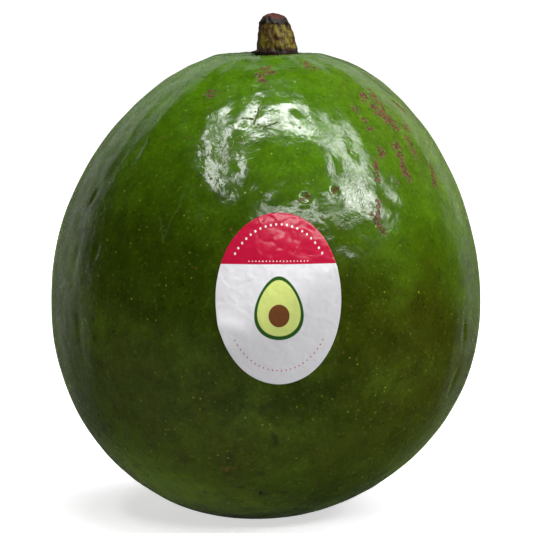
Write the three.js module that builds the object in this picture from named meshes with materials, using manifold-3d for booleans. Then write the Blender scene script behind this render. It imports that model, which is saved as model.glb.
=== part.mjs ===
// A large green-skinned avocado that stands on its blossom end, with the cut stub of its stem and the
// oval produce sticker on its front. Millimetres, +Z up, front towards -Y. The origin is the middle of
// the flat spot that the fruit stands on.
import * as THREE from "three";
import { mergeVertices } from "three/addons/utils/BufferGeometryUtils.js";
import Module from "manifold-3d";

const wasm = await Module();
wasm.setup();

// The fruit's skin lies at a mean distance from its centre, changed by a few broad waves.
const MEAN_RADIUS = 59.9;
const TALLNESS = 2.8; // added at both ends and taken off round the middle
const TAPER = 1.0; // narrows the shoulders and fills the lower half
const LEAN = 0.75; // swings the crown to the right and the blossom end to the left
const SHOULDER = 0.4; // fills the upper right and lower left a little more than the other two
const FRONT_SWELL = 0.5; // the front is fuller than the back
const DEPTH_SHARE = 0.97; // front to back, against side to side
const CROWN_DIP = 1.5; // how far the skin sinks where the stem grew
const CROWN_DIP_SPREAD = 0.18; // radians from the stem's foot
const FRUIT_DETAIL = 14; // cuts along each edge of the icosahedron that the skin starts from

// The blossom end's flat spot is the plane Z = 0, and its middle is X = Y = 0.
const CENTRE = new THREE.Vector3(2.8, 0, 60.7);

// The stem's stub: a stout cone with shallow ribs, on a wider dark foot.
const STEM_FROM_CENTRE = 2.9; // to the right of the fruit's centre
const STEM_HEIGHT = 10.9;
const STEM_FOOT_RADIUS = 5.8;
const STEM_WAIST_RADIUS = 5.6;
const STEM_TIP_RADIUS = 4.1;
const STEM_LEAN = -0.8; // the tip's shift to the left of the foot
const STEM_RIBS = 9;
const STEM_RIB_SHARE = 0.03; // rib height, as a share of the radius
const STEM_SIDES = 27;
const STEM_ROOT = 2.5; // how far the uncut stub reaches below the skin

// The sticker: thin film that follows the skin.
const STICKER_WIDTH = 31.7;
const STICKER_HEIGHT = 44.4;
const STICKER_THICKNESS = 0.2;
const STICKER_RIGHT = 3.3; // its middle, from the fruit's centre, along the skin
const STICKER_UP = 3.2;
const STICKER_RINGS = 6;
const STICKER_SIDES = 36;

const GAP = 0.3; // left between pieces that touch

// Distance from the fruit's centre to its skin along the unit vector d, before DEPTH_SHARE.
function skinRadius(d) {
  const twice = 2 * d.z * d.z - 1; // cosine of twice the angle from +Z
  const thrice = (4 * d.z * d.z - 3) * d.z; // cosine of three times that angle
  const waves =
    TALLNESS * twice +
    TAPER * thrice +
    2 * LEAN * d.x * d.z +
    4 * SHOULDER * d.x * d.z * twice +
    FRONT_SWELL * (d.y * d.y - 3 * d.x * d.x) * -d.y;
  const stem = new THREE.Vector3(STEM_FROM_CENTRE, 0, MEAN_RADIUS).normalize();
  const away = d.angleTo(stem) / CROWN_DIP_SPREAD;
  return MEAN_RADIUS + waves - CROWN_DIP * Math.exp(-away * away);
}

// The point of the skin along the unit vector d, raised by lift.
function skinPoint(d, lift = 0) {
  const out = d.clone().multiplyScalar(skinRadius(d) + lift);
  out.y *= DEPTH_SHARE;
  return out.add(CENTRE);
}

// Moves every vertex of a geometry by a function of its position.
function reshape(geometry, move) {
  const place = geometry.getAttribute("position");
  const v = new THREE.Vector3();
  for (let i = 0; i < place.count; i++) {
    v.fromBufferAttribute(place, i);
    const to = move(v);
    place.setXYZ(i, to.x, to.y, to.z);
  }
  return geometry;
}

function toSolid(geometry) {
  const bare = new THREE.BufferGeometry();
  bare.setAttribute("position", geometry.getAttribute("position").clone());
  bare.setIndex(geometry.getIndex());
  const merged = mergeVertices(bare, 1e-3);
  return new wasm.Manifold(
    new wasm.Mesh({
      numProp: 3,
      vertProperties: merged.getAttribute("position").array,
      triVerts: new Uint32Array(merged.getIndex().array),
    }),
  );
}

function toGeometry(solid) {
  const mesh = solid.getMesh();
  const geometry = new THREE.BufferGeometry();
  geometry.setAttribute("position", new THREE.BufferAttribute(mesh.vertProperties, 3));
  geometry.setIndex(new THREE.BufferAttribute(mesh.triVerts, 1));
  geometry.computeVertexNormals();
  return geometry;
}

// The fruit's full body, grown by lift, before its flat spot is cut.
function fruitBody(lift) {
  const ball = new THREE.IcosahedronGeometry(1, FRUIT_DETAIL);
  return reshape(ball, (v) => skinPoint(v.clone().normalize(), lift));
}

function fruitGeometry() {
  const side = 3 * MEAN_RADIUS;
  const below = new THREE.BoxGeometry(side, side, side).translate(0, 0, -side / 2);
  return toGeometry(toSolid(fruitBody(0)).subtract(toSolid(below)));
}

// Stands on the crown. Its foot is cut to the skin's shape, a gap above it.
function stemGeometry() {
  const outline = new THREE.Path();
  outline.moveTo(0, -STEM_ROOT);
  outline.lineTo(STEM_FOOT_RADIUS, -STEM_ROOT);
  outline.lineTo(STEM_FOOT_RADIUS, 0.08 * STEM_HEIGHT);
  outline.lineTo(STEM_WAIST_RADIUS, 0.14 * STEM_HEIGHT);
  outline.quadraticCurveTo(
    0.6 * STEM_WAIST_RADIUS + 0.4 * STEM_TIP_RADIUS, 0.48 * STEM_HEIGHT,
    STEM_TIP_RADIUS, 0.77 * STEM_HEIGHT,
  );
  outline.bezierCurveTo(
    0.93 * STEM_TIP_RADIUS, 0.9 * STEM_HEIGHT,
    0.7 * STEM_TIP_RADIUS, STEM_HEIGHT,
    0, STEM_HEIGHT,
  );
  const stub = new THREE.LatheGeometry(outline.getPoints(5), STEM_SIDES);
  const foot = skinPoint(new THREE.Vector3(STEM_FROM_CENTRE, 0, MEAN_RADIUS).normalize());
  reshape(stub, (v) => {
    const rib = 1 + STEM_RIB_SHARE * Math.cos(STEM_RIBS * Math.atan2(v.z, v.x));
    const lean = (STEM_LEAN * v.y) / STEM_HEIGHT;
    return new THREE.Vector3(v.x * rib + lean, -v.z * rib, v.y).add(foot);
  });
  return toGeometry(toSolid(stub).subtract(toSolid(fruitBody(GAP))));
}

// A flat oval plate made of rings, laid on the skin: across and up become angles from the fruit's centre.
function stickerGeometry() {
  const profile = [];
  for (let i = 0; i <= STICKER_RINGS; i++) {
    profile.push(new THREE.Vector2(i / STICKER_RINGS, STICKER_THICKNESS));
  }
  for (let i = STICKER_RINGS; i >= 0; i--) {
    profile.push(new THREE.Vector2(i / STICKER_RINGS, 0));
  }
  const plate = new THREE.LatheGeometry(profile, STICKER_SIDES);
  return reshape(plate, (v) => {
    const up = (STICKER_UP + (v.z * STICKER_HEIGHT) / 2) / MEAN_RADIUS;
    const reach = (MEAN_RADIUS - TALLNESS) * Math.cos(up);
    const across = (STICKER_RIGHT + (v.x * STICKER_WIDTH) / 2) / reach;
    const d = new THREE.Vector3().setFromSphericalCoords(1, Math.PI / 2 - up, across);
    return skinPoint(new THREE.Vector3(d.x, -d.z, d.y), GAP + v.y);
  });
}

function piece(name, geometry, look) {
  const mesh = new THREE.Mesh(geometry, new THREE.MeshStandardMaterial(look));
  mesh.name = name;
  return mesh;
}

const avocado = new THREE.Group();
avocado.add(piece("fruit", fruitGeometry(), { color: 0x2f5a0c, roughness: 0.3, metalness: 0 }));
avocado.add(piece("stem", stemGeometry(), { color: 0x4b3d14, roughness: 0.8, metalness: 0 }));
avocado.add(piece("sticker", stickerGeometry(), { color: 0xe6e4e8, roughness: 0.35, metalness: 0 }));

export default avocado;
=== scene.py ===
import math

import bpy
import numpy as np
from mathutils import Matrix, Vector, noise
from mathutils.bvhtree import BVHTree


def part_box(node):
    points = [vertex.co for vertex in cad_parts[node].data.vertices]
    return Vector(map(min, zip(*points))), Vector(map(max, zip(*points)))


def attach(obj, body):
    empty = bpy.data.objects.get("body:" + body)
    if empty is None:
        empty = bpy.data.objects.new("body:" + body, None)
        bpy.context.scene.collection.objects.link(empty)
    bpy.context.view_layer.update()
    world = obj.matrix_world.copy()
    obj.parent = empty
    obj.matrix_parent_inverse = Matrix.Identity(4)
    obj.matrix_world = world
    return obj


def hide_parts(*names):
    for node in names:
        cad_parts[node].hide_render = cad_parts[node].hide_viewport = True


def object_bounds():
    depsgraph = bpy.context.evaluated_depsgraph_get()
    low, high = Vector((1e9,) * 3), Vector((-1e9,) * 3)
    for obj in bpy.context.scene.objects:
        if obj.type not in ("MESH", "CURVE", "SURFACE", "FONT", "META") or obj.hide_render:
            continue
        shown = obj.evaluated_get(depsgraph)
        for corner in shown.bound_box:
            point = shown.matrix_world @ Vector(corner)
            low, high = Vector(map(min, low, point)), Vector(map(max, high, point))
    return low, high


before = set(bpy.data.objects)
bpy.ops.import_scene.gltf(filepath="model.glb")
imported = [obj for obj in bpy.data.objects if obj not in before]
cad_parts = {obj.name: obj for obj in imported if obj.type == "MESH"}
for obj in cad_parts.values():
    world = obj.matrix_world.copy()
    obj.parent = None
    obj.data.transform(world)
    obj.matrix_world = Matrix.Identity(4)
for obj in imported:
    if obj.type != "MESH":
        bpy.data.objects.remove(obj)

CAD_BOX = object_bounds()
MM = 0.001
FAR = 100.0  # millimetres, farther than anything on the fruit

# Skin
SKIN_CUTS = 128  # quads along each edge of the cube that the skin's mesh starts from
MELTING_ROUNDS = 60  # of averaging, which turn the frame's facets into one smooth skin
FIT_INSIDE = 0.10 * MM  # keeps the relief inside the frame's box
SOLE_FADE = (0.2 * MM, 2.0 * MM)  # heights above the table between which the relief fades in
BESIDE = Vector((0.0011, 0.0017, 0.0013))  # turns a ray that slipped through a seam of the frame

# Label
LABEL_RINGS = 44
LABEL_SIDES = 180
LABEL_EDGE = 0.994  # share of its radius where its edge starts to thin
LABEL_THINNING = 0.3  # share of the film that each side loses at the very edge
LABEL_LIFT = 0.20 * MM
LABEL_FILM = 0.08 * MM
LABEL_TALLER = 0.35 * MM  # than the frame's, towards the top, as the photo shows

# Stem
STEM_ROWS = 90
STEM_SIDES = 144
STEM_ROOT = 1.0 * MM  # how far it reaches below the frame's stem, into the skin
STEM_SHORTER = 0.7 * MM  # than the frame's, which leaves room for its chips
STEM_LEAN = -1.2 * MM  # of its tip to the right
STEM_WIDEST = 5.6  # millimetres, its radius without the flap

# Camera
CAMERA_ELEVATION = math.radians(6)
CAMERA_DISTANCE = 0.88
CAMERA_LENS = 224.2
CAMERA_SENSOR = 36
AIM_SHIFT = Vector((0.2 * MM, 0, -0.65 * MM))  # from the middle of the object's box

# Room and table. The first five are brightnesses: of the white sheet in reflections and in soft light, of
# the table in reflections, of the dark front in soft light, and of the table near the fruit.
SHEET_GLOSS = 0.34
SHEET_SOFT = 0.14
UNDER_GLOSS = 0.04
FRONT_FILL = 0.06
FLOOR_GLOW = 0.62
FLOOR_GLOW_REACH = (150, 900)  # millimetres from the origin, over which the glow grows to white
FLOOR_HALF = 15
FLOOR_GREY = (0.8, 0.8, 0.8, 1)
FLOOR_ROUGHNESS = 0.9
BOUNCE_DEPTH = 0.05 * MM  # of the plane that light bounces off, under the glowing one


# ---------------------------------------- shapes


def cube_ball(cuts):
    """Unit directions and four-sided faces of a cube blown up into a ball, with nearly even faces."""
    side = np.tan(np.linspace(-1, 1, cuts + 1) * math.pi / 4)
    across, up = (grid.ravel() for grid in np.meshgrid(side, side))
    out = np.ones_like(across)
    corner = np.arange(cuts * (cuts + 1)).reshape(cuts, cuts + 1)[:, :-1].ravel()
    quad = np.stack([corner, corner + 1, corner + cuts + 2, corner + cuts + 1], axis=1)
    sheets, faces = [], []
    for axis in range(3):
        for sign in (1, -1):
            sheet = np.stack([sign * out, sign * across, up], axis=1)
            faces.append(quad + len(sheets) * len(out))
            sheets.append(np.roll(sheet, axis, axis=1))
    points = np.concatenate(sheets)
    points /= np.linalg.norm(points, axis=1, keepdims=True)
    kept, where = np.unique(points.round(6), axis=0, return_inverse=True)
    kept /= np.linalg.norm(kept, axis=1, keepdims=True)
    return kept, where.reshape(-1)[np.concatenate(faces)]


def ring_pairs(count):
    """Each point of a ring with the one after it."""
    return list(zip(range(count), [*range(1, count), 0]))


def surface_tree(points, faces):
    return BVHTree.FromPolygons([Vector(p) for p in points], [tuple(f) for f in faces])


def radii(tree, centre, directions):
    """How far the surface is from the centre along each direction. A ray that slips through a seam is cast
    again beside it."""
    found = [tree.ray_cast(centre, Vector(d))[3] for d in directions]
    for i, reach in enumerate(found):
        if reach is None:
            found[i] = tree.ray_cast(centre, Vector(directions[i]) + BESIDE)[3]
    return np.array(found)


def melted(values, faces, rounds):
    """The values of a mesh's points, each averaged with its neighbours that many times."""
    one, two = faces.ravel(), np.roll(faces, 1, axis=1).ravel()
    ends, others = np.concatenate([one, two]), np.concatenate([two, one])
    count = np.bincount(ends)
    for _ in range(rounds):
        values = (values + np.bincount(ends, weights=values[others]) / count) / 2
    return values


def hills(points, size, seed):
    """Smooth noise at each point, about -0.7 to 0.7, with hills that are about size across."""
    return np.array([noise.noise(Vector(p)) for p in points / np.array(size) + seed])


def bumps(points, kinds):
    """The sum of several kinds of hills, each (height, size across, seed)."""
    return sum(height * hills(points, size, seed) for height, size, seed in kinds)


def bell(value, width):
    """1 at 0, falling to about a third at the width and to nothing at twice it."""
    return np.exp(-((value / width) ** 2))


def smooth_step(value, low, high):
    share = np.clip((value - low) / (high - low), 0, 1)
    return share * share * (3 - 2 * share)


def calmed(value, share, low, high):
    """1 below low, less by a share above high, and a smooth change between them."""
    return 1 - share * smooth_step(value, low, high)


def mesh_object(name, points, faces):
    mesh = bpy.data.meshes.new(name)
    mesh.from_pydata([tuple(p) for p in points], [], [tuple(int(i) for i in f) for f in faces])
    mesh.shade_smooth()
    made = bpy.data.objects.new(name, mesh)
    bpy.context.scene.collection.objects.link(made)
    return made


def add_mask(piece, name, values):
    made = piece.data.attributes.new(name, "FLOAT", "POINT")
    made.data.foreach_set("value", np.asarray(values, np.float32))


# ---------------------------------------- the frame's pieces


def cad_points(name):
    return np.array([v.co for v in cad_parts[name].data.vertices])


def cad_tree(name):
    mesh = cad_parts[name].data
    return surface_tree(cad_points(name), [p.vertices for p in mesh.polygons])


FRUIT_LOW, FRUIT_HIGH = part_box("fruit")
FRUIT_TREE = cad_tree("fruit")
CENTRE = (FRUIT_LOW + FRUIT_HIGH) / 2
HALF_WIDTH = (FRUIT_HIGH.x - FRUIT_LOW.x) / 2
STEM_LOW, STEM_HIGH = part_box("stem")
STEM_SPOT = (STEM_LOW + STEM_HIGH) / 2 - CENTRE


def front_spot(right, up):
    """The direction from the fruit's centre to a spot of its front."""
    start = CENTRE + Vector((right * MM, -1, up * MM))
    return (FRUIT_TREE.ray_cast(start, Vector((0, 1, 0)))[0] - CENTRE).normalized()


def distance_from(directions, spot):
    """Millimetres along the skin from a spot, about."""
    return np.arccos(np.clip(directions @ np.array(spot), -1, 1)) * HALF_WIDTH / MM


def flat_place(directions):
    """Angles up and across from the fruit's centre, with across narrowed as the skin narrows."""
    up = np.arctan2(directions[:, 2], np.hypot(directions[:, 0], directions[:, 1]))
    across = np.arctan2(directions[:, 0], -directions[:, 1]) * np.cos(up)
    return up, across


def label_place():
    """Middle and half size of the label as angles (across, up), from the frame's label."""
    points = cad_points("sticker") - np.array(CENTRE)
    up, across = flat_place(points)
    low = np.array([across.min(), up.min()])
    high = np.array([across.max(), up.max() + 2 * LABEL_TALLER / HALF_WIDTH])
    return (low + high) / 2, (high - low) / 2


# ---------------------------------------- skin's relief

# Kinds of bumps: height in millimetres, size across in millimetres along every axis or along each, and seed.
LUMPS = [(0.10, 26, 3.1)]
PEBBLES = [(0.30, 8.5, 11.7), (0.16, 4.4, 5.3)]
GROOVES = [(0.18, (7, 7, 26), 8.4)]
FURROWS = [(0.22, 11, 2.2), (0.17, 5.5, 6.1)]

# Where they are, as stretches in millimetres from the fruit's centre.
CALM_SIDES = (0.75, 28, 46)  # share of the pebbles that the sides lose, and the stretch
CALM_BELOW = (0.5, 0, 25)
GROOVED_SIDES = (34, 50)
GROOVE_ENDS = (55, 30)  # above and below the centre, where the grooves end and where they are full
FURROWED_TOP = (12, 46)
FURROW_LENGTH = 5  # times their width

# Rings round the stem: height, distance from the seat's middle and breadth, in millimetres.
STEM_RINGS = [(0.5, 12, 3.2), (-0.6, 0, 9), (0.45, 21, 6)]
SEAT_LEFT = 2.5  # millimetres, from the stem's middle to the seat's

# The label presses the small relief flat.
LABEL_PRESS = 0.75  # share that is pressed flat under it
LABEL_ZONE = (0.98, 1.25)  # shares of its size between which the pressing ends

# Two old insect pits: right, up and radius. Then the height, place and breadth of a pit's rim and of its
# hole, where a place or a breadth is a share of its radius.
PITS = [(9.8, 27.2, 1.35), (17.4, 28.7, 1.1)]
PIT_SHAPE = [(0.22, 1.3, 0.577), (-0.75, 0, 0.79)]

# Soft dents: right, up, half length and half width in millimetres, lean from upright in degrees, and depth
# in millimetres.
DENTS = [
    (-43.4, 12, 1.8, 0.8, -12, 0.45),
    (-44.4, 25, 3.0, 0.9, -15, 0.35),
    (-49, 10, 7.0, 1.6, 0, 0.35),
    (-48, -9, 6.0, 1.6, 8, 0.30),
    (-39, -4, 5.5, 4.0, -30, 0.30),
    (51.6, -9.5, 3.6, 1.2, 0, 0.40),
    (49, -23, 4.0, 1.2, -12, 0.40),
    (22.5, 27.5, 3.4, 2.8, 0, 0.30),
    (-3.5, 46.5, 6.0, 1.4, -20, 0.25),
    (7.0, 47.0, 2.6, 1.6, 10, 0.25),
]


def oval_fade(directions, right, up, length, width, lean):
    """1 in the middle of a leaning oval on the front, falling to 0 round it. Sizes are as in DENTS."""
    spot = front_spot(right, up)
    sideways = Vector((0, 0, 1)).cross(spot).normalized()
    upward = spot.cross(sideways)
    turn = math.radians(lean)
    along = upward * math.cos(turn) - sideways * math.sin(turn)
    over = upward * math.sin(turn) + sideways * math.cos(turn)
    away = (directions - np.array(spot)) * HALF_WIDTH / MM
    return bell(away @ np.array(along), length) * bell(away @ np.array(over), width)


def label_zone(directions):
    """1 under the label, 0 well outside it."""
    middle, half = label_place()
    up, across = flat_place(directions)
    away = np.hypot((across - middle[0]) / half[0], (up - middle[1]) / half[1])
    return 1 - smooth_step(away, *LABEL_ZONE)


def pebbles(places):
    """Small bumps, lower at the sides and below, where the outline is smooth."""
    x, _, z = places.T
    return bumps(places, PEBBLES) * calmed(np.abs(x), *CALM_SIDES) * calmed(-z, *CALM_BELOW)


def side_grooves(places):
    """Upright grooves down both sides."""
    x, _, z = places.T
    beside = smooth_step(np.abs(x), *GROOVED_SIDES) * smooth_step(np.abs(z), *GROOVE_ENDS)
    return bumps(places, GROOVES) * beside


def furrows(places):
    """Shallow furrows that run down from the stem."""
    x, y, z = places.T
    around = places / np.hypot(x, y).clip(1)[:, None] * HALF_WIDTH / MM
    around[:, 2] = z / FURROW_LENGTH
    return bumps(around, FURROWS) * smooth_step(z, *FURROWED_TOP)


def stem_seat(places):
    """The hollow that the stem stands in, and the ridges round it."""
    x, y, z = places.T
    away = np.hypot(x - STEM_SPOT.x / MM + SEAT_LEFT, y - STEM_SPOT.y / MM) + FAR * (z < 0)
    return sum(height * bell(away - place, breadth) for height, place, breadth in STEM_RINGS)


def skin_relief(directions):
    """How far the skin stands out of its smooth shape, in metres."""
    places = directions * HALF_WIDTH / MM
    relief = (pebbles(places) + furrows(places)) * (1 - LABEL_PRESS * label_zone(directions))
    relief += bumps(places, LUMPS) + side_grooves(places) + stem_seat(places)
    for *oval, depth in DENTS:
        relief -= depth * oval_fade(directions, *oval)
    for right, up, radius in PITS:
        away = distance_from(directions, front_spot(right, up)) / radius
        relief += sum(height * bell(away - place, breadth) for height, place, breadth in PIT_SHAPE)
    return relief * MM


def skin_shape():
    """The directions of the skin's points from the fruit's centre, the points and the faces."""
    directions, faces = cube_ball(SKIN_CUTS)
    smooth = melted(radii(FRUIT_TREE, CENTRE, directions), faces, MELTING_ROUNDS)
    above_table = CENTRE.z + smooth * directions[:, 2]
    relief = skin_relief(directions) * smooth_step(above_table, *SOLE_FADE)
    reach = smooth - FIT_INSIDE + relief
    points = directions * reach[:, None] + np.array(CENTRE)
    points[:, 2] = np.maximum(points[:, 2], 0)
    return directions, points, faces


# ---------------------------------------- skin's zones

# Where each colour lies: how fast its mask grows along x, y and z, and the stretch over which it goes from
# 0 to 1, in millimetres from the fruit's centre.
ZONES = {
    "top": ((0.33, 0, 1), (2, 54)),
    "low": ((-0.5, 0, -1), (0, 38)),
    # The next zone is painted bounce light: a pale green low down, standing in for light off the table.
    "foot": ((-0.30, 0, -1), (44, 65)),
    # The next zone is painted light: a lighter yellow-green on the upper right, where the lights fall.
    "painted_light": ((1, 0, 1), (58, 90)),
    "warm": ((1, 0, 0), (-5, 45)),
    "front": ((0, -1, 0), (8, 25)),
}

# Brown scars: right and up of both ends, and half width.
SCARS = [
    (24.8, 51.3, 28.9, 47.1, 0.9),
    (27.5, 51.6, 30.2, 46.7, 1.1),
    (28.9, 47.1, 33.8, 43.1, 1.4),
    (36.0, 43.4, 36.2, 43.0, 1.0),
    (33.6, 38.8, 36.0, 30.9, 1.1),
    (36.7, 40.3, 38.4, 36.5, 1.0),
    (27.7, 35.6, 28.4, 30.7, 0.6),
    (29.4, 38.2, 29.6, 36.8, 0.9),
    (22.8, 48.6, 26.6, 43.4, 0.7),
    (33.1, 49.5, 36.8, 46.1, 0.6),
    (26.8, 22.3, 30.0, 17.2, 0.6),
    (28.9, 25.8, 28.0, 21.0, 0.6),
    (43.0, 33.0, 43.8, 28.0, 0.8),
    (0.5, 57.9, 0.8, 57.0, 1.2),
    (-1.3, 56.2, -1.0, 55.6, 1.0),
    (10.2, 59.1, 12.0, 57.6, 1.0),
    (-14.2, 52.0, -13.8, 51.6, 1.2),
    (-10.4, -43.0, -8.6, -42.6, 0.6),
]
STREAK_SOFTNESS = 1.35  # times the half width, where a streak has faded to about a third
PIT_STREAK = (0.2, 0.65)  # length in millimetres and half width as a share of a pit's radius

BLOSSOM_SCAR = 2.6  # its radius underneath, in millimetres

# Painted shadow below the label, as dark patches: right, up, half length, half width and lean, as in DENTS.
PAINTED_SHADOWS = [
    (10, -22.5, 5.0, 11.0, 10),
    (4.5, -23.0, 3.0, 4.5, -20),
    (-8, -24, 4.0, 5.0, 20),
]


def streak_fade(directions, right, up, right_end, up_end, width):
    """1 along a streak of the front between two spots, falling to 0 beside it."""
    start, end = np.array(front_spot(right, up)), np.array(front_spot(right_end, up_end))
    along = end - start
    share = np.clip((directions - start) @ along / (along @ along), 0, 1)
    away = np.linalg.norm(directions - start - share[:, None] * along, axis=1) * HALF_WIDTH / MM
    return bell(away, STREAK_SOFTNESS * width)


def scar_mask(directions):
    """1 on the scars, in the pits and on the blossom scar, falling to 0 round them."""
    length, width = PIT_STREAK
    pits = [(right, up, right, up + length, width * radius) for right, up, radius in PITS]
    blossom_end = bell(distance_from(directions, (-CENTRE).normalized()), BLOSSOM_SCAR)
    return np.max([streak_fade(directions, *streak) for streak in SCARS + pits] + [blossom_end], axis=0)


def make_skin():
    directions, points, faces = skin_shape()
    skin = mesh_object("skin", points, faces)
    places = directions * HALF_WIDTH / MM
    for name, (slope, stretch) in ZONES.items():
        add_mask(skin, name, smooth_step(places @ np.array(slope), *stretch))
    add_mask(skin, "scar", scar_mask(directions))
    # The dark patches are painted shadow below the label.
    add_mask(skin, "dark", np.max([oval_fade(directions, *oval) for oval in PAINTED_SHADOWS], axis=0))
    skin.data.materials.append(skin_material())
    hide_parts("fruit")
    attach(skin, "root")
    return surface_tree(points, faces)


# ---------------------------------------- label

# Its places are shares of its half size, from -1 to 1, right and up of its middle.
WAVE_SPAN = 16  # millimetres, about its half size
WAVES = [(0.10, (4.0, 6.5, 1), 7.7)]  # as the skin's bumps
PLEAT_WAY = (0.97, 0.24)  # direction of the pleat at its right
PLEAT_HEIGHT, PLEAT_PLACE, PLEAT_WIDTH = 0.20, 0.10, 1 / 30
PLEAT_STRETCH = (0.55, 0.98)
FOLD_HEIGHT, FOLD_PLACE, FOLD_WIDTH = 0.55, -0.32, 0.0877
FOLD_CURVE, FOLD_TURNS_AT = 0.45, -0.9  # how fast it bends down away from that place
FOLD_STRETCH = (0.25, 0.85)  # towards the left


def label_disc():
    """Points in a unit disc, centre first, then ring by ring, and the faces that join them."""
    turns = np.arange(LABEL_SIDES) * 2 * math.pi / LABEL_SIDES
    ring = np.stack([np.cos(turns), np.sin(turns)], axis=1)
    sizes = np.append(np.linspace(0, LABEL_EDGE, LABEL_RINGS)[1:], 1)
    points = [np.zeros((1, 2))] + [ring * size for size in sizes]
    faces = [(0, 1 + a, 1 + b) for a, b in ring_pairs(LABEL_SIDES)]
    for i in range(LABEL_RINGS - 1):
        inner, outer = 1 + i * LABEL_SIDES, 1 + (i + 1) * LABEL_SIDES
        faces += [(inner + a, outer + a, outer + b, inner + b) for a, b in ring_pairs(LABEL_SIDES)]
    return np.concatenate(points), faces


def label_relief(disc):
    """How far the film stands off its smooth shape, in metres: waves, a pleat and a fold."""
    x, y = disc.T
    waves = bumps(np.c_[disc * WAVE_SPAN, np.zeros(len(disc))], WAVES)
    along, over = disc @ np.array(PLEAT_WAY), disc @ np.array([-PLEAT_WAY[1], PLEAT_WAY[0]])
    pleat = PLEAT_HEIGHT * bell(over - PLEAT_PLACE, PLEAT_WIDTH) * smooth_step(along, *PLEAT_STRETCH)
    bent = y - FOLD_PLACE + FOLD_CURVE * (x - FOLD_TURNS_AT) ** 2
    fold = FOLD_HEIGHT * bell(bent, FOLD_WIDTH) * smooth_step(-x, *FOLD_STRETCH)
    return (waves + pleat + fold) * MM


def label_directions(disc):
    """The direction from the fruit's centre to each point of the disc laid on the skin."""
    middle, half = label_place()
    up = middle[1] + disc[:, 1] * half[1]
    across = (middle[0] + disc[:, 0] * half[0]) / np.cos(up)
    return np.stack([np.sin(across) * np.cos(up), -np.cos(across) * np.cos(up), np.sin(up)], axis=1)


def label_shape(skin_tree):
    """The film's front and back: their points on the disc, their points in space, and all its faces."""
    disc, front = label_disc()
    directions = label_directions(disc)
    under = radii(skin_tree, CENTRE, directions) + LABEL_LIFT + label_relief(disc)
    thinning = (np.hypot(*disc.T) > (1 + LABEL_EDGE) / 2) * LABEL_THINNING
    shells = [directions * (under + film * LABEL_FILM)[:, None] for film in (1 - thinning, thinning)]
    count = len(disc)
    back = [tuple(i + count for i in reversed(f)) for f in front]
    last_ring = count - LABEL_SIDES
    rim = [(a, a + count, b + count, b) for a, b in np.array(ring_pairs(LABEL_SIDES)) + last_ring]
    return np.concatenate([disc, disc]), np.concatenate(shells) + np.array(CENTRE), front + back + rim


def make_label(skin_tree):
    disc, points, faces = label_shape(skin_tree)
    label = mesh_object("sticker_film", points, faces)
    half_size = label_place()[1] * HALF_WIDTH / MM
    printed = np.c_[disc * half_size, np.zeros(len(disc))]
    print_place = label.data.attributes.new("print_place", "FLOAT_VECTOR", "POINT")
    print_place.data.foreach_set("vector", printed.astype(np.float32).ravel())
    label.data.materials.append(label_material(half_size))
    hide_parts("sticker")
    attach(label, "root")


# ---------------------------------------- stem

# Radius of the stub in millimetres at shares of its height.
STEM_PROFILE = [(0, 5.65), (0.07, 5.6), (0.14, 5.2), (0.5, 4.45), (0.74, 3.85), (0.8, 3.75), (0.87, 3.35)]
STEM_PROFILE += [(0.93, 2.75), (0.975, 1.7), (1, 0)]

# Its relief. Heights are in millimetres, places and breadths in shares of the stub's height, and the sizes
# of ribs and chips in shares of its radius.
STEM_SLIMNESS = 2.0  # its height in those shares
RIB_SIZE, RIB_SEED, RIB_HEIGHT = (0.32, 0.32, 1.6), 4.0, 0.75
CHIP_SIZE, CHIP_SEED, CHIP_HEIGHT = (0.3, 0.3, 0.22), 9.0, 0.25
RIBS_START, RIBS_END = (0.05, 0.2), (0.7, 0.85)
COLLAR_PLACE, COLLAR_BREADTH, COLLAR_HEIGHT, COLLAR_CHIPS = 0.05, 0.045, 0.14, 0.36
LIP_PLACE, LIP_BREADTH, LIP_HEIGHT, LIP_CHIPS = 0.80, 0.035, 0.0525, 0.175
THIN_BELOW = 3  # millimetres of radius, below which the relief shrinks with the stub
FLAP_PLACE, FLAP_BREADTH, FLAP_SPREAD, FLAP_HEIGHT = 0.08, 0.035, 0.35, 1.5  # at its left foot
TIP_CHIPS, TIP_STRETCH = 0.35, (0.8, 0.95)


def stem_radius(h, angle, ribs, chips):
    """The stub's radius in millimetres at shares of its height and at angles round it."""
    ribbed = smooth_step(h, *RIBS_START) * (1 - smooth_step(h, *RIBS_END))
    collar = bell(h - COLLAR_PLACE, COLLAR_BREADTH) * (COLLAR_HEIGHT + COLLAR_CHIPS * chips)
    lip = bell(h - LIP_PLACE, LIP_BREADTH) * (LIP_HEIGHT + LIP_CHIPS * chips)
    relief = RIB_HEIGHT * ribs * ribbed + CHIP_HEIGHT * chips + collar + lip
    smooth = np.interp(h, *np.array(STEM_PROFILE).T)
    radius = smooth + relief * np.minimum(smooth / THIN_BELOW, 1)
    flap = FLAP_HEIGHT * bell(angle - math.pi, FLAP_SPREAD) * bell(h - FLAP_PLACE, FLAP_BREADTH)
    return np.minimum(radius, STEM_WIDEST) + flap


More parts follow.
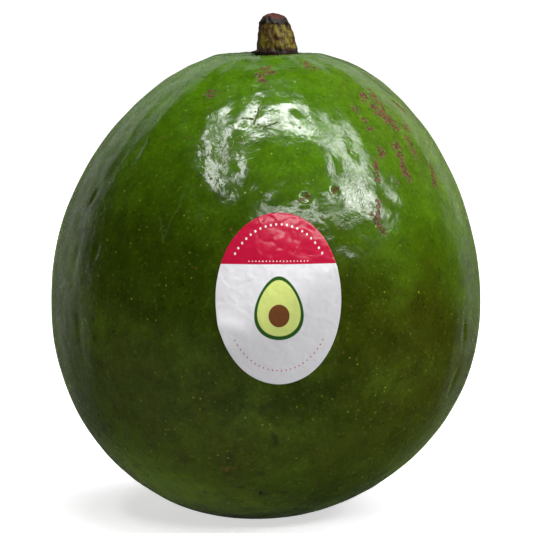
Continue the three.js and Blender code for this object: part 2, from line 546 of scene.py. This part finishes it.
def stem_points(foot, height):
    """The stub's points, row by row, then its tip and the middle of its foot."""
    turns = np.arange(STEM_SIDES) * 2 * math.pi / STEM_SIDES
    angle, h = np.meshgrid(turns, np.sin(np.linspace(0, 0.5, STEM_ROWS) * math.pi))
    around = np.stack([np.cos(angle), np.sin(angle), STEM_SLIMNESS * h], axis=-1).reshape(-1, 3)
    ribs = hills(around, RIB_SIZE, RIB_SEED).reshape(h.shape)
    chips = hills(around, CHIP_SIZE, CHIP_SEED).reshape(h.shape)
    radius = stem_radius(h, angle, ribs, chips) * MM
    lift = height * h + TIP_CHIPS * MM * chips * smooth_step(h, *TIP_STRETCH)
    points = np.stack([radius * np.cos(angle) + STEM_LEAN * h, radius * np.sin(angle), lift], axis=-1)
    points = points.reshape(-1, 3) + np.array(foot)
    points[:, 2] = np.minimum(points[:, 2], STEM_HIGH.z)
    return np.concatenate([points[:-STEM_SIDES], points[-1:], [np.array(foot)]])


def stem_faces():
    """Quads between the rows, a fan round the tip and a fan round the foot's middle."""
    pairs = ring_pairs(STEM_SIDES)
    rows = [row * STEM_SIDES for row in range(STEM_ROWS - 1)]
    tip = rows[-1] + STEM_SIDES
    faces = [(low + a, low + b, high + b, high + a) for low, high in zip(rows, rows[1:]) for a, b in pairs]
    faces += [(rows[-1] + a, rows[-1] + b, tip) for a, b in pairs]
    faces += [(b, a, tip + 1) for a, b in pairs]
    return faces


def make_stem():
    foot = Vector((CENTRE.x + STEM_SPOT.x, CENTRE.y + STEM_SPOT.y, STEM_LOW.z - STEM_ROOT))
    height = STEM_HIGH.z - foot.z - STEM_SHORTER
    points = stem_points(foot, height)
    stem = mesh_object("stem_stub", points, stem_faces())
    add_mask(stem, "height", (points[:, 2] - foot.z) / height)
    stem.data.materials.append(stem_material())
    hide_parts("stem")
    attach(stem, "root")


# ---------------------------------------- nodes


class Paint:
    """The nodes of a material, a light or the world, added and linked one call at a time. A socket or a
    plain value feeds an input."""

    def __init__(self, owner):
        owner.use_nodes = True
        self.owner = owner
        self.tree = owner.node_tree
        self.tree.nodes.clear()

    def node(self, kind, inputs, **settings):
        made = self.tree.nodes.new("ShaderNode" + kind)
        for name, value in settings.items():
            setattr(made, name, value)
        for name, value in inputs.items():
            if isinstance(value, bpy.types.NodeSocket):
                self.tree.links.new(value, made.inputs[name])
            else:
                made.inputs[name].default_value = value
        return made

    def math(self, operation, first, second=0.0, clamp=False):
        inputs = {0: first, 1: second}
        return self.node("Math", inputs, operation=operation, use_clamp=clamp).outputs[0]

    def add(self, first, second):
        return self.math("ADD", first, second)

    def times(self, first, second):
        return self.math("MULTIPLY", first, second)

    def larger(self, first, second):
        return self.math("MAXIMUM", first, second)

    def length(self, x, y):
        return self.math("SQRT", self.add(self.times(x, x), self.times(y, y)))

    def from_nearest(self, value, pitch):
        """0 on marks that lie a pitch apart, and below 0 between them by the distance from the nearest."""
        return self.add(self.math("PINGPONG", value, pitch / 2), -pitch / 2)

    def step(self, value, low, high, start=0.0, end=1.0):
        """start below low, end above high, and a smooth change between them."""
        inputs = {0: value, 1: low, 2: high, 3: start, 4: end}
        return self.node("MapRange", inputs, interpolation_type="SMOOTHSTEP").outputs[0]

    def between(self, value, low, high, soft):
        """1 from low to high, 0 outside them, each change taking soft."""
        return self.times(self.step(value, low, low + soft), self.step(value, high, high + soft, 1.0, 0.0))

    def colour(self, share, first, second):
        inputs = {0: share, 6: first, 7: second}
        return self.node("Mix", inputs, data_type="RGBA", clamp_factor=True).outputs[2]

    def shade(self, colour, share):
        """A colour with each part multiplied by a share."""
        return self.node("VectorMath", {0: colour, "Scale": share}, operation="SCALE").outputs[0]

    def place(self):
        """Object coordinates in millimetres."""
        where = self.node("TexCoord", {}).outputs["Object"]
        return self.node("VectorMath", {0: where, "Scale": 1 / MM}, operation="SCALE").outputs[0]

    def stretched(self, place, sizes):
        """A place with each axis divided by a size in millimetres."""
        return self.node("VectorMath", {0: place, 1: sizes}, operation="DIVIDE").outputs[0]

    def split(self, vector):
        """A vector's three parts."""
        return self.node("SeparateXYZ", {0: vector}).outputs[:]

    def noise(self, place, size, detail=2.0, roughness=0.5, distortion=0.0):
        inputs = {"Vector": place, "Scale": 1 / size, "Detail": detail, "Roughness": roughness}
        inputs["Distortion"] = distortion
        return self.node("TexNoise", inputs).outputs[0]

    def swing(self, place, strength, *texture):
        """A noise round 0 instead of round a half, times a strength."""
        return self.times(self.add(self.noise(place, *texture), -0.5), strength)

    def pattern(self, place, texture, change):
        """A noise turned into other values: what noise and step take after their first input."""
        return self.step(self.noise(place, *texture), *change)

    def dots(self, place, cell, full, gone, pick, change):
        """One dot in each cell of about that many millimetres: full and gone are its radii, and one part of
        the cell's random colour, turned into other values, says how strong it is."""
        made = self.node("TexVoronoi", {"Vector": place, "Scale": 1 / cell, "Randomness": 1.0})
        mask = self.step(made.outputs["Distance"], full / cell, gone / cell, 1.0, 0.0)
        chance = self.node("SeparateColor", {0: made.outputs["Color"]}).outputs[pick]
        return self.times(mask, self.step(chance, *change))

    def front_place(self, place):
        """Millimetres to the right of the fruit's centre and above it."""
        x, _, z = self.split(place)
        return self.add(x, -CENTRE.x / MM), self.add(z, -CENTRE.z / MM)

    def mask(self, name):
        return self.node("Attribute", {}, attribute_name=name).outputs["Fac"]

    def bump(self, height, distance, normal=None):
        inputs = {"Height": height, "Distance": distance}
        if normal is not None:
            inputs["Normal"] = normal
        return self.node("Bump", inputs).outputs[0]

    def finish(self, **inputs):
        shader = self.node("BsdfPrincipled", {k.replace("_", " "): v for k, v in inputs.items()})
        self.node("OutputMaterial", {0: shader.outputs[0]})
        return self.owner


def new_paint(name):
    return Paint(bpy.data.materials.new(name))


# ---------------------------------------- skin's material

# Colours, linear
TOP_GREEN = (0.050, 0.128, 0.0010, 1)
# Painted light: a lighter yellow-green for the upper right, where the lights fall.
PAINTED_LIGHT_GREEN = (0.092, 0.155, 0.014, 1)
SIDE_GREEN = (0.020, 0.037, 0.0004, 1)
WARM_GREEN = (0.030, 0.037, 0.0005, 1)
LOW_GREEN = (0.033, 0.047, 0.0030, 1)
# Painted bounce light: a pale green for the bottom, standing in for light off the table.
PAINTED_BOUNCE_GREEN = (0.215, 0.340, 0.030, 1)
LENTICEL = (0.20, 0.23, 0.025, 1)
LIGHT_FLECK = (0.13, 0.17, 0.02, 1)
BROWN_SPECK = (0.085, 0.040, 0.014, 1)
SCAR = (0.17, 0.068, 0.040, 1)
SCAR_LOW = (0.115, 0.078, 0.012, 1)
SCAR_DARK = (0.045, 0.020, 0.014, 1)
BLOTCH = (0.014, 0.016, 0.006, 1)
PALE = (0.13, 0.17, 0.06, 1)
BLOOM = (0.50, 0.80, 0.15, 1)

# Swings, which move the edges of zones and marks: strength, then size in millimetres, detail and roughness.
ZONE_SWING = (0.8, 16, 3)
SCAR_SWING = (4.0, 1.5, 3, 0.7)
SCRATCH_SWING = (1.6, 3.0, 2)
FOOT_SWING_SHARE = 0.3
SCRATCH_SWING_UP = -0.7  # share of the swing that goes upwards

# Patterns: a noise (size in millimetres, detail, roughness) and what it is turned into (low and high of the
# noise, and the values there).
CLOUDS = (4.5, 4, 0.6), (0.25, 0.75, 0.78, 1.22)
GRAIN = (0.9, 2), (0.2, 0.8, 0.85, 1.18)
BLOTCHES = (3.6, 3), (0.62, 0.74, 0.0, 0.75)
LIGHT_FLECKS = (0.9, 3, 0.55), (0.62, 0.72, 0.0, 0.32)
DARK_FLECKS = (1, 3, 0.6), (0.62, 0.70, 0.0, 0.50)
DARK_FLECK_STRETCH = (1.3, 1.3, 1.0)
SCAR_TINTS = (0.6, 2), (0.40, 0.62)
BROKEN_SCRATCH = (0.9, 3, 0.7), (0.35, 0.6, 0.3, 1.0)
WORN = (2.2, 4, 0.65), (0.3, 0.75, 0.25, 0.40)

# Dots: cell and two radii in millimetres, the random part that picks them, and how it is turned into their
# strength.
PALE_DOTS = 2.2, 0.10, 0.34, 0, (0.20, 1.0, 0.0, 0.9)
BROWN_SPECKS = 3.4, 0.24, 0.50, 1, (0.35, 0.8, 0.0, 0.85)

# Painted shadow below the label: the dark patches darken the green to this share.
PAINTED_SHADOW_SHADE = 0.62  # how light the dark patches are beside the skin
SCAR_EDGE = (0.50, 0.75)  # of the swung mask, where a scar starts and where it is full
SCAR_LIMIT = (0.10, 0.30)  # of the mask itself, below which the swing makes no scar
SCAR_STRENGTH, DARK_STRENGTH, PALE_STRENGTH, FAN_STRENGTH = 0.85, 0.85, 0.12, 0.25

# A fan of fine scratches: right and up of its foot, and the angles that it spans.
FAN_FOOT = (-13.2, 33.0)
FAN_ANGLES = (math.radians(32), math.radians(74))
FAN_REACH = (2.5, 15.0)  # nearest and farthest, millimetres
FAN_FADE = (1.5, 5.0)  # over which it comes and goes
FAN_LINES = 5
FAN_PHASE = math.radians(1.76)
FAN_CURL = 0.018  # radians for each millimetre from its foot
FAN_LINE = (0.08, 0.22)  # half widths of a line, full and gone
FAN_SOFT = 0.02

# Single scratches: right and up of their ends, and then how wide they are, all in millimetres.
DARK_SCRATCHES = [(-3.2, 44.9, -0.8, 50.3), (-6.0, 46.3, -3.2, 46.0), (-0.6, 43.7, 3.0, 45.3)]
DARK_SCRATCHES += [(32.6, 50.4, 35.8, 47.2), (-19.5, 57.0, -15.0, 55.2)]
DARK_SCRATCH_WIDTH = 0.24
PALE_SCRATCHES = [(-25.8, 16.5, -20.5, 27.5), (-25.8, 16.5, -26.8, 21.5), (-16.5, 29.5, -13.2, 33.0)]
PALE_SCRATCH_WIDTH = 0.34

# Fine wrinkles round a dent: right and up of its middle, how far they reach and how far apart they are, in
# millimetres.
WRINKLE_MIDDLE = (22.0, 27.0)
WRINKLE_REACH = (1.0, 10.0, 0.13, 0.0)  # from and to, and their strength there
WRINKLE_PITCH = 0.65
WRINKLE_BEND = (2.6, 2)  # the noise that bends them
WRINKLE_BEND_SIZE = 5.0

# Bump: sizes of the noises as in the patterns, with the distortion last, and heights.
RIPPLES = (2.6, 1, 0.35, 0.4)
FINE_RIPPLES = (0.7, 2, 0.5)
FINE_RIPPLE_SHARE = 0.22
RIPPLE_HEIGHT = 0.12 * MM
MARK_HEIGHT = 0.06 * MM
DOT_RISE, SCAR_FALL, SPECK_FALL = 0.4, -0.8, -0.5  # shares of MARK_HEIGHT

# Wax: two noises whose sum says where it is thin, and how much of it is left there and on dull marks.
WAX_NOISES = (5.0, 2), (0.7, 3, 0.7)
WAX_CHANGE = (0.82, 1.18, 1.0, 0.38)
WAX_ON_MARKS = (0.0, 0.8, 1.0, 0.15)
DULL_ROUGHER = 0.3
WAX_COAT = {"Coat_Roughness": 0.11, "Coat_IOR": 1.6}
FLESH = {"Specular_IOR_Level": 0.05, "Sheen_Weight": 0.20, "Sheen_Roughness": 0.30, "Sheen_Tint": BLOOM}


def scratch_mask(paint, right, up, scratches, width):
    """1 on each scratch, 0 beside it."""
    nearest = FAR
    for x1, z1, x2, z2 in scratches:
        across, over = x2 - x1, z2 - z1
        from_x, from_z = paint.add(right, -x1), paint.add(up, -z1)
        share = paint.add(paint.times(from_x, across), paint.times(from_z, over))
        share = paint.math("DIVIDE", share, across**2 + over**2, clamp=True)
        off_x = paint.add(from_x, paint.times(share, -across))
        off_z = paint.add(from_z, paint.times(share, -over))
        nearest = paint.math("MINIMUM", nearest, paint.length(off_x, off_z))
    return paint.step(nearest, width / 2, width, 1.0, 0.0)


def fan_mask(paint, right, up):
    """1 on each line of the fan of scratches, 0 between them."""
    from_x, from_z = paint.add(right, -FAN_FOOT[0]), paint.add(up, -FAN_FOOT[1])
    away = paint.length(from_x, from_z)
    turn = paint.add(paint.math("ARCTAN2", from_z, from_x), paint.times(away, FAN_CURL))
    low, high = FAN_ANGLES
    half_pitch = (high - low) / FAN_LINES / 2
    beside = paint.times(paint.math("PINGPONG", paint.add(turn, FAN_PHASE), half_pitch), away)
    lines = paint.step(beside, *FAN_LINE, 1.0, 0.0)
    near, far = FAN_REACH
    comes, goes = FAN_FADE
    within = paint.times(paint.step(away, near, near + comes), paint.step(away, far - goes, far, 1.0, 0.0))
    return paint.times(lines, paint.times(paint.between(turn, low, high, FAN_SOFT), within))


def skin_greens(paint, place):
    """The green of each zone, cloudy and grained, with painted light on the upper right, painted bounce light
    at the bottom and painted shadow below the label.
    """
    drift = paint.swing(place, *ZONE_SWING)
    colour = paint.colour(paint.add(paint.mask("warm"), drift), SIDE_GREEN, WARM_GREEN)
    colour = paint.colour(paint.add(paint.mask("low"), drift), colour, LOW_GREEN)
    # Painted bounce light: a pale green at the bottom.
    foot = paint.add(paint.mask("foot"), paint.times(drift, FOOT_SWING_SHARE))
    colour = paint.colour(foot, colour, PAINTED_BOUNCE_GREEN)
    colour = paint.colour(paint.add(paint.mask("top"), drift), colour, TOP_GREEN)
    # Painted light: a lighter yellow-green on the upper right.
    colour = paint.colour(paint.times(paint.mask("painted_light"), paint.add(drift, 1.0)), colour, PAINTED_LIGHT_GREEN)
    # Painted shadow below the label.
    colour = paint.shade(colour, paint.step(paint.add(paint.mask("dark"), drift), 0.0, 1.0, 1.0, PAINTED_SHADOW_SHADE))
    return paint.shade(colour, paint.times(paint.pattern(place, *CLOUDS), paint.pattern(place, *GRAIN)))


def with_flecks(paint, place, colour):
    """A colour with blotches low down and light and dark flecks all over."""
    blotches = paint.times(paint.pattern(place, *BLOTCHES), paint.mask("low"))
    colour = paint.colour(blotches, colour, BLOTCH)
    colour = paint.colour(paint.pattern(place, *LIGHT_FLECKS), colour, LIGHT_FLECK)
    narrow = paint.stretched(place, DARK_FLECK_STRETCH)
    return paint.colour(paint.pattern(narrow, *DARK_FLECKS), colour, BLOTCH)


def scar_edge(paint, place):
    """The mask of the scars with a broken edge."""
    swung = paint.add(paint.mask("scar"), paint.swing(place, *SCAR_SWING))
    return paint.times(paint.step(swung, *SCAR_EDGE), paint.step(paint.mask("scar"), *SCAR_LIMIT))


def with_scars(paint, place, scar, colour):
    """A colour with the scars on it, reddish on top and ochre low down."""
    bark = paint.colour(paint.mask("low"), SCAR, SCAR_LOW)
    bark = paint.colour(paint.pattern(place, *SCAR_TINTS), SCAR_DARK, bark)
    return paint.colour(paint.times(scar, SCAR_STRENGTH), colour, bark)


def scratch_masks(paint, place, right, up):
    """The masks of the dark scratches, the pale ones and the fan, all on the front only."""
    front = paint.mask("front")
    dark = paint.times(scratch_mask(paint, right, up, DARK_SCRATCHES, DARK_SCRATCH_WIDTH), front)
    dark = paint.times(dark, paint.pattern(place, *BROKEN_SCRATCH))
    pale = paint.times(scratch_mask(paint, right, up, PALE_SCRATCHES, PALE_SCRATCH_WIDTH), front)
    return dark, pale, paint.times(fan_mask(paint, right, up), front)


def wrinkles(paint, place, right, up):
    """The height of the fine wrinkles, which are rings bent by a noise."""
    away = paint.length(paint.add(right, -WRINKLE_MIDDLE[0]), paint.add(up, -WRINKLE_MIDDLE[1]))
    bent = paint.add(away, paint.times(paint.noise(place, *WRINKLE_BEND), WRINKLE_BEND_SIZE))
    waves = paint.math("SINE", paint.times(bent, 2 * math.pi / WRINKLE_PITCH))
    return paint.times(waves, paint.times(paint.mask("front"), paint.step(away, *WRINKLE_REACH)))


def wax_weight(paint, place, dull):
    """How much wax there is: thin in patches, and nearly none on dull marks."""
    coarse, fine = WAX_NOISES
    patchy = paint.add(paint.noise(place, *coarse), paint.noise(place, *fine))
    return paint.times(paint.step(dull, *WAX_ON_MARKS), paint.step(patchy, *WAX_CHANGE))


def skin_material():
    paint = new_paint("avocado_skin")
    place = paint.place()
    right, up = paint.front_place(place)
    wobble = paint.swing(place, *SCRATCH_SWING)
    right, up = paint.add(right, wobble), paint.add(up, paint.times(wobble, SCRATCH_SWING_UP))

    dots, specks = paint.dots(place, *PALE_DOTS), paint.dots(place, *BROWN_SPECKS)
    scar = scar_edge(paint, place)
    dark, pale, fan = scratch_masks(paint, place, right, up)

    colour = with_flecks(paint, place, skin_greens(paint, place))
    colour = paint.colour(dots, colour, LENTICEL)
    colour = paint.colour(specks, colour, BROWN_SPECK)
    colour = with_scars(paint, place, scar, colour)
    colour = paint.colour(paint.times(dark, DARK_STRENGTH), colour, SCAR_DARK)
    colour = paint.colour(paint.times(pale, PALE_STRENGTH), colour, PALE)
    colour = paint.colour(paint.times(fan, FAN_STRENGTH), colour, BROWN_SPECK)

    fine = paint.times(paint.noise(place, *FINE_RIPPLES), FINE_RIPPLE_SHARE)
    normal = paint.bump(paint.add(paint.noise(place, *RIPPLES), fine), RIPPLE_HEIGHT)
    marks = paint.add(paint.times(scar, SCAR_FALL), paint.times(specks, SPECK_FALL))
    marks = paint.add(paint.times(dots, DOT_RISE), marks)
    grooves = paint.add(paint.times(paint.add(fan, dark), -1.0), wrinkles(paint, place, right, up))
    normal = paint.bump(paint.add(marks, grooves), MARK_HEIGHT, normal=normal)

    dull = paint.larger(scar, paint.larger(specks, dark))
    rough = paint.add(paint.pattern(place, *WORN), paint.times(dull, DULL_ROUGHER))
    wax = {"Coat_Weight": wax_weight(paint, place, dull), "Coat_Normal": normal, **WAX_COAT}
    return paint.finish(Base_Color=colour, Roughness=rough, Normal=normal, **FLESH, **wax)


# ---------------------------------------- label's material

LABEL_WHITE = (0.71, 0.70, 0.72, 1)
LABEL_CRIMSON = (0.44, 0.006, 0.036, 1)
LABEL_RIND = (0.02, 0.09, 0.012, 1)
LABEL_FLESH = (0.62, 0.70, 0.20, 1)
LABEL_SEED = (0.16, 0.055, 0.018, 1)

# The print. Sizes are in millimetres from the label's middle.
CAP_FOOT = 0.390  # share of the label's half height
PRINT_BLUR = 0.05
HALF_AVOCADO = (0.0, -2.6, 6.2, 8.2, 0.26)  # middle, half sizes, and how much its top narrows
SEED = (0.0, -4.6, 2.7, 2.9, 0.0)
FLESH_EDGE = 0.88  # share of the half avocado
OVAL_BLUR = 0.012  # share of an oval

# A level row of dots: above the cap's foot, its ends, pitch, radius, and where one dot is.
ROW_LIFT, ROW_HALF, ROW_PITCH, ROW_RADIUS, ROW_PHASE = 0.8, 8.2, 0.9, 0.16, 0.1
ROW_SOFT, ARC_SOFT = 0.1, 0.01

# Arcs of dots: share of the label's size, its ends in degrees, dots in a full turn, and their radius.
LOW_ARC = (0.84, -148, -32, 76, 0.18)
CAP_ARC = (0.86, 34, 146, 64, 0.30)

# Painted shade: the film's colour darkens from its top left to its bottom right.
PAINTED_SHADE_ACROSS = -0.5
PAINTED_SHADE_STEPS = (-0.40, 0.25, 0.72, 1.0)
CRINKLE = (3.2, 1, 0.5, 0.5)
CRINKLE_HEIGHT = 0.28 * MM
FILM = {"Roughness": 0.20, "IOR": 1.5}


def oval_distance(paint, x, y, middle_x, middle_y, half_x, half_y, taper):
    """Distance from an oval's middle, 1 on its outline, with its top narrowed by taper."""
    up = paint.times(paint.add(y, -middle_y), 1 / half_y)
    wide = paint.add(paint.times(up, -taper), 1.0)
    over = paint.math("DIVIDE", paint.times(paint.add(x, -middle_x), 1 / half_x), wide)
    return paint.length(over, up)


def inside(paint, distance, edge, blur):
    """1 nearer than the edge, 0 beyond it."""
    return paint.step(distance, edge - blur, edge + blur, 1.0, 0.0)


def dotted_row(paint, x, y, height):
    """Dots along a level line."""
    along = paint.from_nearest(paint.add(x, ROW_PHASE), ROW_PITCH)
    away = paint.length(along, paint.add(y, -height))
    ends = paint.between(x, -ROW_HALF, ROW_HALF, ROW_SOFT)
    return paint.times(inside(paint, away, ROW_RADIUS, PRINT_BLUR), ends)


def dotted_arc(paint, x, y, half_size, share, low, high, count, radius):
    """Dots along an oval inside the label's edge, between two angles in degrees."""
    u, v = paint.times(x, 1 / (share * half_size[0])), paint.times(y, 1 / (share * half_size[1]))
    reach = share * (half_size[0] + half_size[1]) / 2
    turn = paint.math("ARCTAN2", v, u)
    along = paint.times(paint.from_nearest(turn, 2 * math.pi / count), reach)
    off = paint.times(paint.add(paint.length(u, v), -1.0), reach)
    ends = paint.between(turn, math.radians(low), math.radians(high), ARC_SOFT)
    return paint.times(inside(paint, paint.length(along, off), radius, PRINT_BLUR), ends)


def with_half_avocado(paint, x, y, colour):
    """A colour with a picture of half an avocado on it."""
    body = oval_distance(paint, x, y, *HALF_AVOCADO)
    colour = paint.colour(inside(paint, body, 1.0, OVAL_BLUR), colour, LABEL_RIND)
    colour = paint.colour(inside(paint, body, FLESH_EDGE, OVAL_BLUR), colour, LABEL_FLESH)
    seed = oval_distance(paint, x, y, *SEED)
    return paint.colour(inside(paint, seed, 1.0, OVAL_BLUR), colour, LABEL_SEED)


def label_material(half_size):
    """The label's print: a crimson cap, rows of dots and half an avocado, under painted shade that darkens it
    towards the bottom right.
    """
    paint = new_paint("produce_label")
    where = paint.node("Attribute", {}, attribute_name="print_place").outputs["Vector"]
    x, y, _ = paint.split(where)
    cap_foot = CAP_FOOT * half_size[1]
    cap = paint.step(y, cap_foot - PRINT_BLUR, cap_foot + PRINT_BLUR)
    colour = paint.colour(cap, LABEL_WHITE, LABEL_CRIMSON)
    colour = with_half_avocado(paint, x, y, colour)
    colour = paint.colour(dotted_row(paint, x, y, cap_foot + ROW_LIFT), colour, LABEL_WHITE)
    colour = paint.colour(dotted_arc(paint, x, y, half_size, *LOW_ARC), colour, LABEL_CRIMSON)
    colour = paint.colour(dotted_arc(paint, x, y, half_size, *CAP_ARC), colour, LABEL_WHITE)
    # Painted shade, darker towards the bottom right.
    painted_shade_slope = paint.add(paint.times(y, 1 / half_size[1]), paint.times(x, PAINTED_SHADE_ACROSS / half_size[0]))
    colour = paint.shade(colour, paint.step(painted_shade_slope, *PAINTED_SHADE_STEPS))
    normal = paint.bump(paint.noise(where, *CRINKLE), CRINKLE_HEIGHT)
    return paint.finish(Base_Color=colour, Normal=normal, **FILM)


# ---------------------------------------- stem's material

STEM_DARK = (0.014, 0.0060, 0.0030, 1)
STEM_BROWN = (0.060, 0.024, 0.007, 1)
STEM_OLIVE = (0.150, 0.125, 0.006, 1)
STEM_CUT = (0.080, 0.018, 0.008, 1)

STRAND_SIZE = (0.9, 0.9, 4.0)
STRANDS = (1, 3, 0.5, 0.4)
BARK_PATCHES = (2.2, 4, 0.6)
OLIVE_STRANDS = (0.35, 0.62)
BROWN_PATCHES = (0.52, 0.62)

# Bands of colour at shares of the stub's height, whose edges the patches move.
EDGE_WANDER = 0.35
FOOT_BAND, HEAD_BAND, CUT_BAND = (0.12, 0.22), (0.70, 0.80), (0.88, 0.96)
PATCH_RELIEF_SHARE = 0.6
BARK_HEIGHT = 0.5 * MM
BARK = {"Roughness": 0.5, "Specular_IOR_Level": 0.25}


def stem_material():
    """Olive strands in brown bark, with a dark foot, a dark head and a reddish cut."""
    paint = new_paint("stem_bark")
    place = paint.place()
    strands = paint.noise(paint.stretched(place, STRAND_SIZE), *STRANDS)
    patches = paint.noise(place, *BARK_PATCHES)
    colour = paint.colour(paint.step(strands, *OLIVE_STRANDS), STEM_BROWN, STEM_OLIVE)
    colour = paint.colour(paint.step(patches, *BROWN_PATCHES), colour, STEM_BROWN)
    wander = paint.add(paint.mask("height"), paint.times(paint.add(patches, -0.5), EDGE_WANDER))
    colour = paint.colour(paint.step(wander, *FOOT_BAND, 1.0, 0.0), colour, STEM_DARK)
    colour = paint.colour(paint.step(wander, *HEAD_BAND), colour, STEM_DARK)
    colour = paint.colour(paint.step(wander, *CUT_BAND), colour, STEM_CUT)
    relief = paint.add(strands, paint.times(patches, PATCH_RELIEF_SHARE))
    return paint.finish(Base_Color=colour, Normal=paint.bump(relief, BARK_HEIGHT), **BARK)


# ---------------------------------------- stage


def box_middle():
    low, high = CAD_BOX
    return (low + high) / 2


def make_camera():
    data = bpy.data.cameras.new("camera")
    data.lens, data.sensor_width = CAMERA_LENS, CAMERA_SENSOR
    camera = bpy.data.objects.new("camera", data)
    back = Vector((0, -math.cos(CAMERA_ELEVATION), math.sin(CAMERA_ELEVATION)))
    camera.location = box_middle() + AIM_SHIFT + back * CAMERA_DISTANCE
    camera.rotation_mode = "QUATERNION"
    camera.rotation_quaternion = (-back).to_track_quat("-Z", "Y")
    bpy.context.scene.collection.objects.link(camera)
    bpy.context.scene.camera = camera


def level_plane(name, height, paint, **finish):
    half = FLOOR_HALF
    corners = [(-half, -half, height), (half, -half, height), (half, half, height), (-half, half, height)]
    plane = mesh_object(name, corners, [(0, 1, 2, 3)])
    plane.data.materials.append(paint.finish(Base_Color=FLOOR_GREY, Roughness=FLOOR_ROUGHNESS, **finish))
    plane.visible_glossy = False
    return plane


def make_floor():
    """A pale table that glows from below, so that it stays pale all the way back, and under it the plain
    one that light bounces off."""
    paint = new_paint("floor")
    away = paint.node("VectorMath", {0: paint.place()}, operation="LENGTH").outputs["Value"]
    glow = paint.step(away, *FLOOR_GLOW_REACH, FLOOR_GLOW, 1.0)
    floor = level_plane("floor", 0.0, paint, Emission_Color=(1, 1, 1, 1), Emission_Strength=glow)
    floor.visible_diffuse = floor.visible_shadow = False
    level_plane("bounce", -BOUNCE_DEPTH, new_paint("bounce")).visible_camera = False


# Soft lights, all at the same distance: name, direction from the object, direction of the long side, length
# and breadth in metres, and radiant power in watts.
LIGHT_DISTANCE = 1.0
LIGHT_SOFT = (0.26, 0.34)  # shares of the length and the breadth that each edge's fade takes
LIGHTS = [
    ("over", (0.04, -0.11, 0.99), (1, 0, 0), 0.90, 0.34, 8.2),
    ("left", (-0.40, -0.32, 0.85), (0.14, -0.61, -0.23), 0.84, 0.15, 2.1),
    ("right", (0.65, -0.24, 0.71), (0.36, -0.30, -0.45), 0.78, 0.44, 4.4),
    ("low", (0.73, -0.38, 0.51), (0.35, 0.57, -0.14), 0.78, 0.31, 3.2),
    ("front", (0.28, -0.77, 0.57), (0.70, 0.15, -0.06), 0.88, 0.18, 2.1),
]


def soften(light):
    """Makes a light fade towards its edges, at the same power."""
    paint = Paint(light)
    along, over, _ = paint.split(paint.node("NewGeometry", {}).outputs["Parametric"])
    fade = 1.0
    for share, soft in zip((along, over), LIGHT_SOFT):
        inward = paint.math("PINGPONG", share, 0.5)
        fade = paint.times(fade, paint.step(inward, 0.0, soft, 0.0, 1 / (1 - soft)))
    glow = paint.node("Emission", {"Strength": fade})
    paint.node("OutputLight", {0: glow.outputs[0]})


def make_lights():
    for name, direction, side, length, breadth, power in LIGHTS:
        data = bpy.data.lights.new(name, "AREA")
        data.shape, data.size, data.size_y, data.energy = "RECTANGLE", length, breadth, power
        soften(data)
        light = bpy.data.objects.new(name, data)
        towards = Vector(direction).normalized()
        over = towards.cross(Vector(side)).normalized()
        light.location = box_middle() + towards * LIGHT_DISTANCE
        light.rotation_mode = "QUATERNION"
        light.rotation_quaternion = Matrix((over.cross(towards), over, towards)).transposed().to_quaternion()
        bpy.context.scene.collection.objects.link(light)


# The room, by direction: x to the right, y to the back and z up, each from -1 to 1.
SHEET_ACROSS, SHEET_UP = -0.15, -0.35  # how far the sheet's edge moves back towards the right and the top
SHEET_EDGE = (0.36, 0.60)  # towards the back, where the sheet starts and where it is full
SHEET_HEIGHT = (-0.7, 0.6, 0.0, 1.5)  # from and to, and how bright it is there
DIM_BACK, DIM_TOP, DIM_SHADES = (0.75, 1.0), (0.05, 0.6, 1.0, 0.0), (0.0, 1.0, 1.0, 0.3)
UNDER_HEIGHT, UNDER_ACROSS = (-0.5, -0.05, UNDER_GLOSS, 0.0), (-0.4, 0.5, 1.0, 0.15)


def white_sheet(paint, across, back, up):
    """How bright the white sheet at the sides and behind is. It is dimmer straight behind."""
    above = paint.times(paint.larger(up, 0.0), SHEET_UP)
    edge = paint.add(back, paint.add(paint.times(across, SHEET_ACROSS), above))
    dim = paint.times(paint.step(back, *DIM_BACK), paint.step(up, *DIM_TOP))
    sheet = paint.times(paint.step(edge, *SHEET_EDGE), paint.step(dim, *DIM_SHADES))
    return paint.times(sheet, paint.step(up, *SHEET_HEIGHT))


def make_world():
    """A white sheet at the sides and behind, and a dark room in front. Gloss also sees a dim table, and the
    camera sees plain white."""
    world = bpy.data.worlds.new("room")
    bpy.context.scene.world = world
    paint = Paint(world)
    world.cycles.sampling_method = "NONE"
    across, back, up = paint.split(paint.node("TexCoord", {}).outputs["Generated"])
    sheet = white_sheet(paint, across, back, up)
    under = paint.times(paint.step(up, *UNDER_HEIGHT), paint.step(across, *UNDER_ACROSS))
    path = paint.node("LightPath", {}).outputs
    gloss = paint.times(path["Is Glossy Ray"], paint.larger(paint.times(sheet, SHEET_GLOSS), under))
    soft = paint.add(paint.times(sheet, SHEET_SOFT), FRONT_FILL)
    soft = paint.times(path["Is Diffuse Ray"], soft)
    strength = paint.add(paint.add(soft, gloss), path["Is Camera Ray"])
    background = paint.node("Background", {"Color": (1, 1, 1, 1), "Strength": strength})
    paint.node("OutputWorld", {0: background.outputs[0]})


bpy.context.scene.view_settings.view_transform = "Standard"
make_camera()
make_floor()
make_world()
make_lights()
make_label(make_skin())
make_stem()
